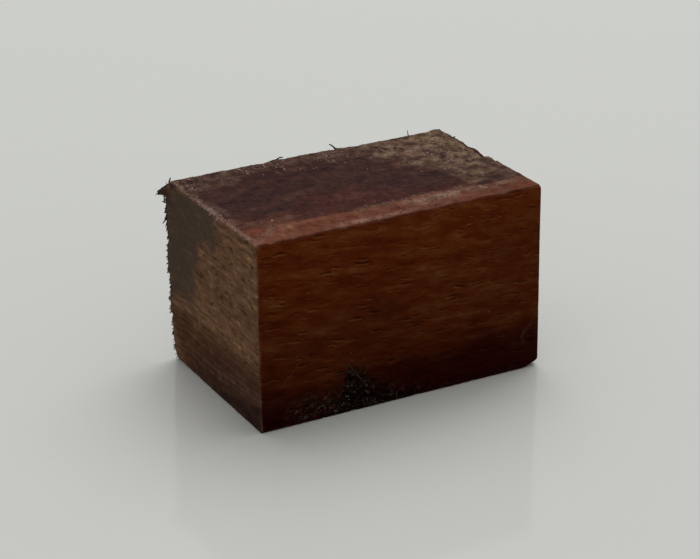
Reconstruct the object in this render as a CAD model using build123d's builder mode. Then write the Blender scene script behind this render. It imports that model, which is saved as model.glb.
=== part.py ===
from build123d import *
import os

# A short off-cut of square hardwood stock, cross-cut by saw at both ends: one piece, worn and torn at its arrises.
# Millimetres. The grain runs along X, and the front long face looks along -Y.
# The block stands on Z = 0, and the origin is the middle of its base.

# The stock
length = 80.5
width = 50.0
height = 50.0

# How far each sawn face is out of square, from one side of the face to the other
front_lean = 0.72
back_lean = 0.64
top_rise = 0.65
left_end_skew = 0.26
right_end_skew = 0.36

# The left end was cut in two passes, and the lower pass falls away below the line where they meet
second_pass_height = 17.2
second_pass_relief = 0.2

# Wear on the arrises: the front right one is rubbed round, the others are only eased
rubbed_arris = 1.0
upright_arris = 0.6
level_arris = 0.35

# Chips that broke out along the grain at the top of the right end, from the back to the front
chip_place_shares = (0.295, 0.455, 0.57)
chip_chords = (4.4, 5.8, 3.2)
chip_depths = (0.55, 1.0, 0.3)
chip_runs = (3.2, 5.0, 2.4)

# Corners knocked off at the base: the reach along X, along Y and up
front_right_knock = (4.2, 3.6, 1.7)
back_left_knock = (0.9, 1.4, 1.6)

# The saw came out at the back of the left end, where the last fibres tore instead of being cut
tear_reach = 1.8
tear_flare = 8.0
tear_root = 0.6
# Height along the arris and how far the torn lip stands out there
tear_shares = (
    (0.04, 0.0), (0.07, 0.22), (0.10, 0.14), (0.15, 0.38), (0.18, 0.26), (0.23, 0.50), (0.26, 0.36),
    (0.30, 0.66), (0.33, 0.58), (0.36, 0.74), (0.39, 0.52), (0.42, 0.44), (0.46, 0.62), (0.49, 0.52),
    (0.52, 0.94), (0.56, 0.84), (0.60, 1.00), (0.62, 0.78), (0.65, 0.94), (0.68, 0.62), (0.71, 0.80),
    (0.74, 0.70), (0.77, 1.00), (0.80, 0.82), (0.84, 1.00), (0.88, 0.80), (0.93, 0.95), (0.98, 0.0),
)

# A splinter left at the top of the torn arris: it points along the grain and hangs a little
splinter_reach = 4.3
splinter_root_height = 4.0
splinter_root_thickness = 1.2
splinter_tip_height = 0.45
splinter_tip_thickness = 0.3
splinter_drop = 2.0
splinter_top_gap = 0.15

# Score lines that single saw teeth left low on the left end: heights, and the size of each groove
score_heights = (5.6, 7.3, 9.1, 11.6)
score_depth = 0.25
score_gape = 0.5

# Spare length for the stock before it is sawn, and for every cut to run out of the wood
overrun = 5.0

# Planes of the sawn faces, each facing out of the wood
top_plane = Plane(origin=(0, 0, height), x_dir=(length, 0, top_rise), z_dir=(-top_rise, 0, length))
left_plane = Plane(
    origin=(-length / 2, 0, 0), x_dir=(left_end_skew, width, 0), z_dir=(-width, left_end_skew, 0)
)
right_plane = Plane(
    origin=(length / 2, 0, 0), x_dir=(right_end_skew, -width, 0), z_dir=(width, right_end_skew, 0)
)
second_pass_plane = Plane(
    origin=(-length / 2, 0, second_pass_height),
    x_dir=(left_end_skew, width, 0),
    z_dir=(
        -width * second_pass_height,
        left_end_skew * second_pass_height,
        -width * second_pass_relief,
    ),
)

# The back face at the left end: its first direction runs out of the end, its second up the torn arris
torn_arris_plane = Plane(
    origin=(-length / 2 + left_end_skew / 2, width / 2 + back_lean / 2, 0),
    x_dir=(-1, 0, 0),
    z_dir=(0, height, back_lean),
)
left_top = height - top_rise / 2

# The torn lip: a ragged edge along the arris that flares out of the end face
with BuildPart() as torn_lip:
    with BuildSketch(torn_arris_plane):
        with BuildLine():
            root = [
                (-tear_root, share * left_top) for share in (tear_shares[-1][0], tear_shares[0][0])
            ]
            edge = [(reach * tear_reach, share * left_top) for share, reach in tear_shares]
            Polyline(*edge, *root, close=True)
        make_face()
    extrude(amount=-tear_flare)
    flare_plane = Plane(
        origin=torn_arris_plane.from_local_coords((tear_reach, 0, 0)),
        x_dir=(0, 0, 1),
        z_dir=(-tear_flare, -tear_reach, 0),
    )
    split(bisect_by=flare_plane, keep=Keep.BOTTOM)

# The splinter: a flake that tapers from the arris to its tip
splinter_root_middle = left_top - splinter_top_gap - splinter_root_height / 2
with BuildPart() as splinter:
    with BuildSketch(Plane.YZ.offset(-length / 2 + tear_root)):
        with Locations((width / 2 - back_lean / 2 - splinter_root_thickness / 2, splinter_root_middle)):
            Rectangle(splinter_root_thickness, splinter_root_height)
    with BuildSketch(Plane.YZ.offset(-length / 2 - splinter_reach)):
        with Locations((width / 2 - back_lean / 2 - splinter_root_thickness / 2, left_top - splinter_drop)):
            Rectangle(splinter_tip_thickness, splinter_tip_height)
    loft()

with BuildPart() as wood_block:
    # The stock, with a section a little narrower at the top
    with BuildSketch(Plane.YZ):
        with BuildLine():
            stock_height = height + overrun
            front_slope = front_lean / height
            back_slope = back_lean / height
            Polyline(
                (-(width + front_lean) / 2, 0),
                ((width + back_lean) / 2, 0),
                ((width + back_lean) / 2 - back_slope * stock_height, stock_height),
                (-(width + front_lean) / 2 + front_slope * stock_height, stock_height),
                close=True,
            )
        make_face()
    extrude(amount=length / 2 + overrun, both=True)

    # The top and both ends are sawn off
    split(bisect_by=top_plane, keep=Keep.BOTTOM)
    split(bisect_by=left_plane, keep=Keep.BOTTOM)
    split(bisect_by=right_plane, keep=Keep.BOTTOM)

    # Wear on the arrises
    front = wood_block.faces().sort_by(Axis.Y)[0]
    right_end = wood_block.faces().sort_by(Axis.X)[-1]
    fillet(front.edges() & right_end.edges(), rubbed_arris)
    front = wood_block.faces().sort_by(Axis.Y)[0]
    left_end = wood_block.faces().sort_by(Axis.X)[0]
    fillet(front.edges() & left_end.edges(), upright_arris)
    back = wood_block.faces().sort_by(Axis.Y)[-1]
    right_end = wood_block.faces().sort_by(Axis.X)[-1]
    fillet(back.edges() & right_end.edges(), upright_arris)
    fillet(wood_block.faces().sort_by(Axis.Z)[-1].edges(), level_arris)
    fillet(wood_block.faces().sort_by(Axis.Z)[0].edges(), level_arris)

    # The saw's second pass
    split(bisect_by=second_pass_plane, keep=Keep.BOTTOM)

    # Score lines on the left end
    for score_height in score_heights:
        score_depth_there = score_depth + second_pass_relief * (1 - score_height / second_pass_height)
        with BuildSketch(Plane.XZ):
            with Locations((-length / 2, score_height)):
                Polygon(
                    (-score_depth_there, score_gape),
                    (score_depth_there, 0),
                    (-score_depth_there, -score_gape),
                    align=None,
                )
        extrude(amount=width / 2 + overrun, both=True, mode=Mode.SUBTRACT)

    # Chips at the top of the right end: each is a scoop along the grain that runs out on the top
    for share, chord, depth, run in zip(chip_place_shares, chip_chords, chip_depths, chip_runs):
        scoop_radius = (chord**2 / 4 + depth**2) / (2 * depth)
        end_top = height + top_rise / 2
        scoop_plane = Plane(
            origin=(length / 2, width / 2 - share * width, end_top - depth + scoop_radius),
            z_dir=(-run, 0, depth),
        )
        with BuildSketch(scoop_plane):
            Circle(scoop_radius)
        extrude(amount=run + overrun, both=True, mode=Mode.SUBTRACT)

    # Knocked corners at the base
    for side, depth_side, knock in ((1, -1, front_right_knock), (-1, 1, back_left_knock)):
        along, across, up = knock
        corner = Vector(side * length / 2, depth_side * width / 2, 0)
        knock_plane = Plane(
            origin=corner + Vector(0, 0, up),
            x_dir=(side * along, -depth_side * across, 0),
            z_dir=(side / along, depth_side / across, -1 / up),
        )
        split(bisect_by=knock_plane, keep=Keep.BOTTOM)

    # What tore instead of being cut
    add(torn_lip.part)
    add(splinter.part)

os.makedirs("parts", exist_ok=True)
wood_block.part.label = "wood_block"
export_step(wood_block.part, "parts/wood_block.step")
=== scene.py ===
"""Looks of a worn off-cut of red hardwood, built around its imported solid.

The block keeps the form of the solid. Its skin is a fine remesh of that solid, on which saw marks, raised grain,
pits and nicks are real relief, and the places of its stains, dust and wear are attributes that its finish reads.
The torn fibres, the lifted shavings and the crumbs of sawdust are pieces of their own.
"""

import logging
import math
from dataclasses import dataclass, field
from enum import Enum
from typing import Any, Protocol

import bmesh
import bpy
import numpy as np
from mathutils import Matrix, Vector, noise

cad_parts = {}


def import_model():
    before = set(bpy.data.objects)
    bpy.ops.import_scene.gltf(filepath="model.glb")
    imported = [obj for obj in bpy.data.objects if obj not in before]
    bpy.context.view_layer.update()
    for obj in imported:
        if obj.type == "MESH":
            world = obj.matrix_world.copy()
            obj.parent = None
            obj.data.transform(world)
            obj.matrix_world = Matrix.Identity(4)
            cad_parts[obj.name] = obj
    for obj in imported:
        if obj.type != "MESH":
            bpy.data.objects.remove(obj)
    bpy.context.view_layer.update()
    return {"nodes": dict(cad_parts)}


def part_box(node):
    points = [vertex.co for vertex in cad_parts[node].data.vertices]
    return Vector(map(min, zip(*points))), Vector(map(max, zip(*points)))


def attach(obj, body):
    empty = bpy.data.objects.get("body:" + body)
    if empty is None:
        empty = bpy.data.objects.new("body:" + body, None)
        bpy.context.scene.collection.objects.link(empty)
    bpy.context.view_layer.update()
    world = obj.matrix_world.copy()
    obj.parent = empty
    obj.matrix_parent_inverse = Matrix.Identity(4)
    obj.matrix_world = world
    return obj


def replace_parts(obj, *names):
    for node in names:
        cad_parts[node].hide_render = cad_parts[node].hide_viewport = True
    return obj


LOG = logging.getLogger("wood_block")
MM = 0.001
NODE = "wood_block"
BODY = "root"
TONE = "tone"
# Share of a face's direction above which a point lies flat in it, and those between which its arris turns.
FLAT = 0.98
ARRIS = (0.45, 0.85)
FAR = 1e3

Outline = tuple[tuple[float, float], ...]
Place = tuple[float, float, float]
Extent = tuple[float, float, float]
Socket = bpy.types.NodeSocket
Tree = bpy.types.NodeTree


def linear(colour: str) -> tuple[float, float, float, float]:
    """Turns an sRGB colour into the linear one that a socket takes.

    Args:
        colour: The colour as "#rrggbb".

    Returns:
        Red, green, blue and an alpha of one.
    """
    shares = [int(colour[i:i + 2], 16) / 255 for i in (1, 3, 5)]
    return (*(c / 12.92 if c <= 0.04045 else ((c + 0.055) / 1.055) ** 2.4 for c in shares), 1.0)


def add(
    tree: Tree,
    kind: str,
    inputs: dict[int | str, Any] | None = None,
    out: int | str = 0,
    ramp: tuple[tuple[float, str], ...] = (),
    **settings: Any,
) -> Socket:
    """Adds a node to a tree, with its settings and links.

    Args:
        tree: The tree that gets the node.
        kind: The node's class, without its ShaderNode prefix.
        inputs: For each input, a socket to link, an sRGB hex colour or a plain value.
        out: The output that the caller goes on with.
        ramp: Stops of a colour ramp, each a place and an sRGB hex colour.
        **settings: Properties of the node.

    Returns:
        The output socket asked for.
    """
    node = tree.nodes.new("ShaderNode" + kind)
    for name, value in settings.items():
        setattr(node, name, value)
    for socket, value in (inputs or {}).items():
        if isinstance(value, Socket):
            tree.links.new(value, node.inputs[socket])
        else:
            node.inputs[socket].default_value = linear(value) if isinstance(value, str) else value
    if ramp:
        stops = node.color_ramp.elements
        while len(stops) < len(ramp):
            stops.new(1.0)
        for stop, (place, colour) in zip(stops, ramp):
            stop.position = place
            stop.color = linear(colour)
    return node.outputs[out] if node.outputs else None


def pattern(tree: Tree, place: Socket, size: Extent, kind: str = "TexNoise", **inputs: float) -> Socket:
    """Adds a texture whose features have a real size.

    Args:
        tree: The tree that gets it.
        place: Where it is read, in millimetres.
        size: How long, deep and high its features are, in millimetres.
        kind: The texture's node class.
        **inputs: Its other inputs.

    Returns:
        The texture's first output.
    """
    stretched = add(tree, "VectorMath", {0: place, 1: tuple(1 / s for s in size)}, operation="MULTIPLY")
    return add(tree, kind, {"Vector": stretched, "Scale": 1.0, **inputs})


def blank(name: str) -> tuple[bpy.types.Material, Tree]:
    """Makes a material whose tree is empty, and gives both."""
    material = bpy.data.materials.new(name)
    material.use_nodes = True
    material.node_tree.nodes.clear()
    return material, material.node_tree


def smooth(low: float, high: float, values: np.ndarray) -> np.ndarray:
    """Rises smoothly from nought at low to one at high, or falls where low is above high."""
    t = np.clip((values - low) / (high - low), 0.0, 1.0)
    return t * t * (3.0 - 2.0 * t)


def away(flat: np.ndarray, start: tuple[float, float], end: tuple[float, float]) -> np.ndarray:
    """Gives the distance of each place on a flat face from the straight line between two points."""
    a, side = np.array(start), np.subtract(end, start)
    share = np.clip((flat - a) @ side / (side @ side), 0.0, 1.0)
    return np.linalg.norm(flat - a - share[:, None] * side, axis=1)


def into_scene(name: str, data: bpy.types.ID) -> bpy.types.Object:
    """Makes an object of some data and links it to the scene."""
    made = bpy.data.objects.new(name, data)
    bpy.context.scene.collection.objects.link(made)
    return made


def show(name: str, bm: bmesh.types.BMesh, finish: bpy.types.Material) -> bpy.types.Object:
    """Makes a finished piece from a bmesh and lets it ride on the block.

    Args:
        name: The piece's name.
        bm: Its shape, in metres, in place. It is freed.
        finish: Its material.

    Returns:
        The new object.
    """
    mesh = bpy.data.meshes.new(name)
    bm.to_mesh(mesh)
    bm.free()
    mesh.shade_smooth()
    mesh.materials.append(finish)
    piece = into_scene(name, mesh)
    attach(piece, BODY)
    LOG.info("%s: %d faces", name, len(mesh.polygons))
    return piece


class Face(Enum):
    """The block's faces: the axis that each one looks along, and which way."""

    LEFT = (0, -1)
    RIGHT = (0, 1)
    FRONT = (1, -1)
    BACK = (1, 1)
    BASE = (2, -1)
    TOP = (2, 1)


class Mark(Enum):
    """What the skin carries for its finish to read."""

    TOP = "top"
    END = "end"
    BAND = "band"
    RED = "red"
    STAIN = "stain"
    LOW = "low"
    FOOT = "foot"
    DAMP = "damp"
    SOOT = "soot"
    DIRT = "dirt"
    DUST = "dust"
    BRAN = "bran"
    WEAR = "wear"
    # Dark torn arrises: partly darker torn wood, partly painted shade.
    TORN = "torn"


Marks = dict[Mark, Any]


@dataclass
class Skin:
    """The points of the block's skin, in millimetres from the left front corner of its base.

    Attributes:
        places: One row for each point.
        normals: The directions in which the skin looks there.
        corner: That corner's own place in the frame, in millimetres.
    """

    places: np.ndarray
    normals: np.ndarray
    corner: np.ndarray

    def facing(self, face: Face) -> np.ndarray:
        """Says how far each point belongs to a face, from nought to one across the arris."""
        axis, sign = face.value
        return smooth(*ARRIS, sign * self.normals[:, axis])

    def across(self, face: Face) -> np.ndarray:
        """Gives each point's place across a face, along the two axes that lie in it."""
        return np.delete(self.places, face.value[0], 1)

    def depth(self, face: Face) -> np.ndarray:
        """Gives each point's distance into the wood from the plane that fits a face best."""
        axis, sign = face.value
        flat = sign * self.normals[:, axis] > FLAT
        rows = np.column_stack([self.across(face), np.ones(len(self.places))])
        plane = np.linalg.lstsq(rows[flat], self.places[flat, axis], rcond=None)[0]
        return sign * (rows @ plane - self.places[:, axis])

    def arris(self, reach: float, *faces: Face) -> np.ndarray:
        """Says how near each point is to an arris.

        Args:
            reach: How far from it the nearness ends, in millimetres.
            *faces: The two faces that meet there, or none for any arris.

        Returns:
            One on the arris, falling to nought.
        """
        depths = np.sort(np.stack([self.depth(face) for face in faces or Face]), axis=0)
        return smooth(reach, 0.0, depths[1])

    def ripple(self, size: Extent, octaves: int = 3, seed: int = 0) -> np.ndarray:
        """Gives smooth noise, from about minus one to one, at each point.

        Args:
            size: How long, deep and high one wave of it is, in millimetres.
            octaves: How many finer waves it holds.
            seed: Picks another stretch of the same noise.

        Returns:
            One value for each point.
        """
        shift = Vector((17.3, 5.1, 9.7)) * seed
        return np.array([noise.fractal(Vector(p) + shift, 1.0, 2.0, octaves) for p in self.places / size])

    def on(self, face: Face, a: float, b: float) -> Vector:
        """Gives the frame place, in millimetres, of the skin's point at a place across a face."""
        gaps = np.linalg.norm(self.across(face) - (a, b), axis=1) + FAR * (self.facing(face) < 0.5)
        return Vector(self.places[np.argmin(gaps)] + self.corner)

    def outermost(self, axis: int, level: float, reach: float, heading: Place) -> Vector:
        """Gives the frame place of the point that stands out furthest in one slice of the skin.

        Args:
            axis: The axis that the slice lies across.
            level: Where the slice is on that axis, in millimetres.
            reach: Half of its thickness.
            heading: The direction that counts as out.

        Returns:
            The point's place, in millimetres.
        """
        slice_ = np.flatnonzero(np.abs(self.places[:, axis] - level) < reach)
        return Vector(self.places[slice_[np.argmax(self.places[slice_] @ heading)]] + self.corner)


class Cover(Protocol):
    """Anything that covers part of the skin."""

    def cover(self, skin: Skin) -> np.ndarray:
        """Says how much of it each point of the skin gets."""


@dataclass(frozen=True)
class Patch:
    """A patch of stain, dust or dirt on one face.

    Attributes:
        face: The face that it lies on.
        outline: Its corners across that face, in millimetres.
        soft: How wide its edge fades.
        fray: How far its edge wanders.
        fray_size: How long one wave of that is.
        strength: How strong it is inside.
    """

    face: Face
    outline: Outline
    soft: float = 2.0
    fray: float = 2.0
    fray_size: float = 5.0
    strength: float = 1.0

    def cover(self, skin: Skin) -> np.ndarray:
        """Says how much of the patch each point of the skin gets."""
        flat = skin.across(self.face)
        nearest = np.full(len(flat), np.inf)
        inside = np.zeros(len(flat), bool)
        for a, b in zip(self.outline, self.outline[1:] + self.outline[:1]):
            nearest = np.minimum(nearest, away(flat, a, b))
            crosses = (a[1] > flat[:, 1]) != (b[1] > flat[:, 1])
            slope = (b[0] - a[0]) / ((b[1] - a[1]) or 1.0)
            inside ^= crosses & (flat[:, 0] < a[0] + slope * (flat[:, 1] - a[1]))
        depth = np.where(inside, nearest, -nearest)
        depth += self.fray * skin.ripple((self.fray_size,) * 3, 4, seed=3)
        return self.strength * smooth(-self.soft / 2, self.soft / 2, depth) * skin.facing(self.face)


@dataclass(frozen=True)
class Stroke:
    """A line along which crumbs or pale wear lie on one face.

    Attributes:
        face: The face that it lies on.
        line: Its points across that face, in millimetres.
        width: How far to each side it fades out.
        strength: How strong it is in the middle.
    """

    face: Face
    line: Outline
    width: float = 1.0
    strength: float = 1.0

    def cover(self, skin: Skin) -> np.ndarray:
        """Says how much of the line each point of the skin gets."""
        flat = skin.across(self.face)
        nearest = np.minimum.reduce([away(flat, *ends) for ends in zip(self.line, self.line[1:])])
        return self.strength * smooth(self.width, 0.0, nearest) * skin.facing(self.face)


@dataclass(frozen=True)
class RedHardwood:
    """Dense red-brown hardwood with open pores, planed on its long faces and sawn across at its ends.

    Planed long grain shows short dark pore lines, each with a painted highlight just below it, in an orange-brown
    ground with a low sheen. The sawn ends are dull and tan, and the top is stained nearly black where it was wet,
    with a purple-grey cast that is partly painted sheen, and grey-brown where dust lies. The sizes are those of
    the
    features, in millimetres: length along the grain, depth and height.
    """

    # Real pores, saw lines and grains of dust are finer than this. They are drawn as coarse as they need to show.
    pore: Extent = (8.0, 1.05, 1.05)
    fine_pore: Extent = (4.0, 0.50, 0.50)
    pore_belt: Extent = (20.0, 6.0, 6.0)
    pore_rag: Extent = (1.9, 0.6, 0.6)
    pore_highlight_drop: float = 0.36
    blotch: Extent = (9.0, 5.0, 4.0)
    streak: Extent = (20.0, 3.0, 3.0)
    fibre: Extent = (5.6, 1.8, 1.8)
    layer: Extent = (9.0, 3.8, 1.25)
    saw_line: Extent = (60.0, 60.0, 0.50)
    stain_cloud: Extent = (8.0, 5.0, 5.0)
    grit: Extent = (1.5, 2.0, 2.0)
    speck: Extent = (1.1, 0.8, 0.8)
    flake: Extent = (2.7, 3.2, 3.2)
    dust_grain: Extent = (1.4, 1.2, 1.2)
    clump: Extent = (5.0, 3.2, 3.2)
    tint: Extent = (3.4, 2.7, 2.7)
    wander_size: Extent = (40.0, 16.0, 16.0)
    wander_reach: float = 3.0
    waver_size: Extent = (5.0, 2.6, 2.6)
    waver_reach: float = 1.6
    crumb_rag: float = 1.5
    grain_fall: float = 0.07
    turn_brown: float = 0.035
    ior: float = 1.5
    gloss: float = 0.008
    roughness: tuple[float, float] = (0.46, 0.95)

    def make(self) -> bpy.types.Material:
        """Builds the material."""
        material, tree = blank("red_hardwood_planed_and_sawn")
        place = add(tree, "TexCoord", out="Object")
        place = add(tree, "VectorMath", {0: place, 1: (1 / MM,) * 3}, operation="MULTIPLY")
        grain = self.wander(tree, place)
        marks = {mark: add(tree, "Attribute", attribute_name=mark.value, out="Fac") for mark in Mark}
        planed, planed_height = self.planed(tree, grain, marks)
        weathered, weathered_height = self.weathered(tree, grain, marks)
        sawn, sawn_height = self.sawn(tree, place, grain, marks)
        colour = add(tree, "Mix", {0: marks[Mark.TOP], 6: planed, 7: weathered}, 2, data_type="RGBA")
        colour = add(tree, "Mix", {0: marks[Mark.END], 6: colour, 7: sawn}, 2, data_type="RGBA")
        height = add(tree, "Mix", {0: marks[Mark.TOP], 2: planed_height, 3: weathered_height})
        height = add(tree, "Mix", {0: marks[Mark.END], 2: height, 3: sawn_height})
        colour, height, dull = self.dirtied(tree, place, marks, colour, height)
        bump = add(tree, "Bump", {"Height": height, "Distance": MM, "Strength": 1.0})
        clean_rough, dull_rough = self.roughness
        roughness = add(tree, "MapRange", {0: dull, 3: clean_rough, 4: dull_rough})
        shader = add(
            tree,
            "BsdfPrincipled",
            {"Base Color": colour, "Roughness": roughness, "IOR": self.ior, "Specular IOR Level": self.gloss,
             "Normal": bump},
        )
        add(tree, "OutputMaterial", {"Surface": shader})
        return material

    def wander(self, tree: Tree, place: Socket) -> Socket:
        """Lets the grain fall to the right and wander as it runs along the block."""
        place = add(tree, "Mapping", {"Vector": place, "Rotation": (0.0, -self.grain_fall, 0.0)})
        for size, reach in ((self.wander_size, self.wander_reach), (self.waver_size, self.waver_reach)):
            drift = pattern(tree, place, size).node.outputs["Color"]
            drift = add(tree, "VectorMath", {0: drift, 1: (0.5,) * 3}, operation="SUBTRACT")
            place = add(tree, "VectorMath", {0: drift, 1: (0.0, reach, reach), 2: place}, operation="MULTIPLY_ADD")
        return place

    def planed(self, tree: Tree, grain: Socket, marks: Marks) -> tuple[Socket, Socket]:
        """Lays the long grain: blotches, streaks, fine fibres and pore lines, each with a painted highlight below
        it.

        Args:
            tree: The material's tree.
            grain: Places that follow the grain.
            marks: The skin's attributes.

        Returns:
            Its colour and its height in millimetres.
        """
        blotch = pattern(tree, grain, self.blotch, Detail=3.0, Roughness=0.55)
        along = add(tree, "SeparateXYZ", {0: grain}, "X")
        browner = add(tree, "MapRange", {0: along, 1: -10.0, 2: 22.0, 3: 0.0, 4: self.turn_brown})
        streak = pattern(tree, grain, self.streak, Detail=3.0, Roughness=0.6)
        fibre = pattern(tree, grain, self.fibre, Detail=3.0, Roughness=0.6)
        ground = browner
        for wave, share in ((blotch, 0.25), (streak, 0.35), (fibre, 0.40)):
            ground = add(tree, "Math", {0: wave, 1: share, 2: ground}, operation="MULTIPLY_ADD")
        colour = add(
            tree, "ValToRGB", {0: ground},
            ramp=((0.32, "#3a1203"), (0.43, "#4c1c07"), (0.51, "#56240a"), (0.59, "#5d2f13"), (0.70, "#6c4327")),
        )
        belt = pattern(tree, grain, self.pore_belt, Detail=2.0)
        belt = add(tree, "MapRange", {0: belt, 1: 0.36, 2: 0.62, 3: 0.26, 4: 0.80})
        # Painted highlight: a paler lip is painted just below each pore line, where the groove's lower wall would
        # catch the light from above.
        below = add(tree, "VectorMath", {0: grain, 1: (0.4, 0.0, self.pore_highlight_drop)}, operation="ADD")
        rag = pattern(tree, grain, self.pore_rag, Detail=2.0)
        lines = []
        for where in (grain, below):
            pore = pattern(tree, where, self.pore, "TexVoronoi")
            pore = add(tree, "Math", {0: rag, 1: 0.5, 2: pore}, operation="MULTIPLY_ADD")
            pore = add(tree, "Math", {0: pore, 1: 0.25}, operation="SUBTRACT")
            pore = add(
                tree, "MapRange", {0: pore, 1: 0.14, 2: 0.32, 3: 1.0, 4: 0.0}, interpolation_type="SMOOTHSTEP"
            )
            fine_pore = pattern(tree, where, self.fine_pore, "TexVoronoi")
            fine_pore = add(tree, "MapRange", {0: fine_pore, 1: 0.10, 2: 0.28, 3: 0.5, 4: 0.0})
            pore = add(tree, "Math", {0: pore, 1: fine_pore}, operation="MAXIMUM")
            lines.append(add(tree, "Math", {0: pore, 1: belt}, operation="MULTIPLY"))
        pore, lip = lines
        # The lip's paler colour is the painted highlight.
        lip = add(tree, "Math", {0: lip, 1: 0.65}, operation="MULTIPLY")
        colour = add(tree, "Mix", {0: lip, 6: colour, 7: "#7d4a26"}, 2, data_type="RGBA")
        colour = add(tree, "Mix", {0: pore, 6: colour, 7: "#2f0f05"}, 2, data_type="RGBA")
        colour = add(
            # Darker towards the bottom of the long faces, and in a few smudges.
            tree, "Mix", {0: marks[Mark.DAMP], 6: colour, 7: "#6e3d80"}, 2, data_type="RGBA", blend_type="MULTIPLY"
        )
        height = add(tree, "Math", {0: fibre, 1: 0.06}, operation="MULTIPLY")
        height = add(tree, "Math", {0: pore, 1: -0.12, 2: height}, operation="MULTIPLY_ADD")
        return colour, height

    def weathered(self, tree: Tree, grain: Socket, marks: Marks) -> tuple[Socket, Socket]:
        """Lays the top: dark where it was wet, with a purple-grey cast that is partly painted sheen, redder in
        places, with a paler band along the front.

        Args:
            tree: The material's tree.
            grain: Places that follow the grain.
            marks: The skin's attributes.

        Returns:
            Its colour and its height in millimetres.
        """
        cloud = pattern(tree, grain, self.stain_cloud, Detail=6.0, Roughness=0.62)
        # The purple-grey cast of these dark stain colours is partly painted sheen, standing for the bright
        # surround glancing off the top.
        colour = add(
            tree, "ValToRGB", {0: cloud},
            ramp=((0.28, "#241319"), (0.44, "#311a1a"), (0.58, "#3b211e"), (0.74, "#4f3129")),
        )
        colour = add(tree, "Mix", {0: marks[Mark.RED], 6: colour, 7: "#582619"}, 2, data_type="RGBA")
        band = add(
            tree, "ValToRGB", {0: cloud},
            ramp=((0.28, "#522819"), (0.44, "#603020"), (0.58, "#6b3b2a"), (0.72, "#7f5542")),
        )
        colour = add(tree, "Mix", {0: marks[Mark.BAND], 6: colour, 7: band}, 2, data_type="RGBA")
        grit = pattern(tree, grain, self.grit, Detail=4.0, Roughness=0.65)
        shade = add(tree, "MapRange", {0: grit, 1: 0.30, 2: 0.70, 3: 0.50, 4: 1.50})
        calm = add(tree, "Math", {0: marks[Mark.BAND], 1: 0.25}, operation="MULTIPLY")
        shade = add(tree, "Mix", {0: calm, 2: shade, 3: 1.0})
        colour = add(tree, "Mix", {0: 1.0, 6: colour, 7: shade}, 2, data_type="RGBA", blend_type="MULTIPLY")
        height = add(tree, "Math", {0: grit, 1: 0.18}, operation="MULTIPLY")
        return colour, height

    def sawn(self, tree: Tree, place: Socket, grain: Socket, marks: Marks) -> tuple[Socket, Socket]:
        """Lays the sawn ends: growth layers cut across, scored level by the saw.

        Args:
            tree: The material's tree.
            place: Places in millimetres.
            grain: Places that follow the grain.
            marks: The skin's attributes.

        Returns:
            Its colour and its height in millimetres.
        """
        layer = pattern(tree, grain, self.layer, Detail=4.0, Roughness=0.64)
        colour = add(
            tree, "ValToRGB", {0: layer},
            ramp=((0.31, "#38261a"), (0.44, "#614832"), (0.56, "#72573d"), (0.68, "#8c7054")),
        )
        cloud = pattern(tree, place, self.clump, Detail=3.0)
        tone = add(tree, "MapRange", {0: cloud, 1: 0.40, 2: 0.66, 3: 0.0, 4: 0.7})
        colour = add(tree, "Mix", {0: tone, 6: colour, 7: "#724e40"}, 2, data_type="RGBA")
        patchy = add(tree, "MapRange", {0: cloud, 1: 0.32, 2: 0.62, 3: 0.68, 4: 0.97})
        for mark, tint in ((Mark.LOW, "#472d21"), (Mark.STAIN, "#4a3f36"), (Mark.FOOT, "#271c1d")):
            share = add(tree, "Math", {0: marks[mark], 1: patchy}, operation="MULTIPLY")
            colour = add(tree, "Mix", {0: share, 6: colour, 7: tint}, 2, data_type="RGBA")
        score = pattern(tree, place, self.saw_line, Detail=2.0)
        shade = add(tree, "MapRange", {0: score, 1: 0.3, 2: 0.7, 3: 0.76, 4: 1.24})
        clear = add(tree, "Math", {0: marks[Mark.STAIN], 1: -0.75, 2: 1.0}, operation="MULTIPLY_ADD")
        colour = add(tree, "Mix", {0: clear, 6: colour, 7: shade}, 2, data_type="RGBA", blend_type="MULTIPLY")
        height = add(tree, "Math", {0: layer, 1: 0.25}, operation="MULTIPLY")
        height = add(tree, "Math", {0: score, 1: 0.10, 2: height}, operation="MULTIPLY_ADD")
        return colour, add(tree, "Math", {0: height, 1: clear}, operation="MULTIPLY")

    def dirtied(
        self, tree: Tree, place: Socket, marks: Marks, colour: Socket, height: Socket
    ) -> tuple[Socket, Socket, Socket]:
        """Adds what lies on the wood: sawdust, tar, pale worn arrises, and dark torn ones that are partly painted
        shade.

        Args:
            tree: The material's tree.
            place: Places in millimetres.
            marks: The skin's attributes.
            colour: The clean wood's colour.
            height: The clean wood's height in millimetres.

        Returns:
            The colour, the height and how dull the surface is.
        """
        speck = pattern(tree, place, self.speck, Detail=4.0, Roughness=0.72)
        clump = pattern(tree, place, self.clump, Detail=4.0, Roughness=0.6)
        flake = pattern(tree, place, self.flake, Detail=5.0, Roughness=0.66)
        thick = add(tree, "MapRange", {0: clump, 1: 0.34, 2: 0.56, 3: 0.5, 4: 1.0})
        thick = add(tree, "Math", {0: thick, 1: marks[Mark.DUST]}, operation="MULTIPLY")
        loose = add(tree, "MapRange", {0: flake, 1: 0.34, 2: 0.47, 3: 0.38, 4: 1.0})
        film = add(tree, "Math", {0: thick, 1: loose}, operation="MULTIPLY")
        powder = add(tree, "ValToRGB", {0: flake}, ramp=((0.36, "#483b35"), (0.50, "#614f45"), (0.64, "#806b5c")))
        warm = pattern(tree, place, self.tint, Detail=5.0, Roughness=0.7)
        warm = add(tree, "ValToRGB", {0: warm}, ramp=((0.36, "#bdbeaf"), (0.50, "#c0bcb5"), (0.64, "#c9b9b4")))
        powder = add(tree, "Mix", {0: 1.0, 6: powder, 7: warm}, 2, data_type="RGBA", blend_type="OVERLAY")
        colour = add(tree, "Mix", {0: film, 6: colour, 7: powder}, 2, data_type="RGBA")
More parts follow.
